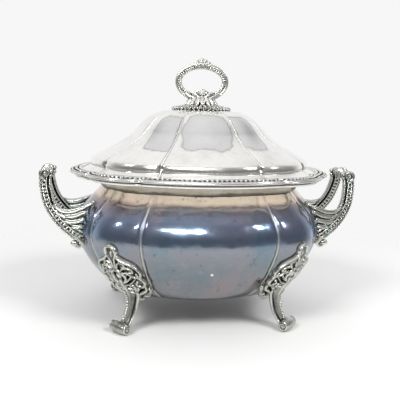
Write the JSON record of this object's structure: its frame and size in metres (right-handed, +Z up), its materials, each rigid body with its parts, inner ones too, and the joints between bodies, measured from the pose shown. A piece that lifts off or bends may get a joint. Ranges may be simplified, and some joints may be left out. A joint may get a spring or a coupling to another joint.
{
  "type": "soup tureen",
  "caption": "Lobed oval tureen on four scroll feet, with upswept loop handles and a domed lid that lifts off by a ring finial.",
  "frame": {"origin": "on the table, under the middle of the bowl: the centre of the bounding box's bottom face", "axes": "+X towards one handle, -Y towards the front, +Z up"},
  "size_m": [0.351, 0.2372, 0.288],
  "materials": {
    "tarnished_plate": "polished silver plate with dark blue-grey tarnish",
    "rubbed_plate": "worn plate with a warm copper tint",
    "bright_plate": "bright polished silver plate with light patches of tarnish",
    "cast_plate": "plated casting with blackened recesses",
    "fastener": "aged brass"
  },
  "bodies": {
    "vessel": {"bowl": "tarnished_plate", "neck_band": "rubbed_plate", "seat_lip": "bright_plate", "leg_front_left": "cast_plate", "leg_front_right": "cast_plate", "leg_back_left": "cast_plate", "leg_back_right": "cast_plate", "leg_mount_front_left": "cast_plate", "leg_mount_front_right": "cast_plate", "leg_mount_back_left": "cast_plate", "leg_mount_back_right": "cast_plate", "handle_left": "cast_plate", "handle_right": "cast_plate"},
    "lid": {"lid_dome": "bright_plate", "lid_bead_border": "bright_plate", "lid_bezel": "bright_plate", "finial_plate": "cast_plate", "finial_ring": "cast_plate", "finial_stud": "fastener", "finial_washer": "fastener", "finial_nut": "fastener"}
  },
  "joints": [
    {"name": "lid_lift", "type": "slide", "parent": "vessel", "child": "lid", "axis": [0, 0, 1], "range_m": [0, 0.15]}
  ]
}
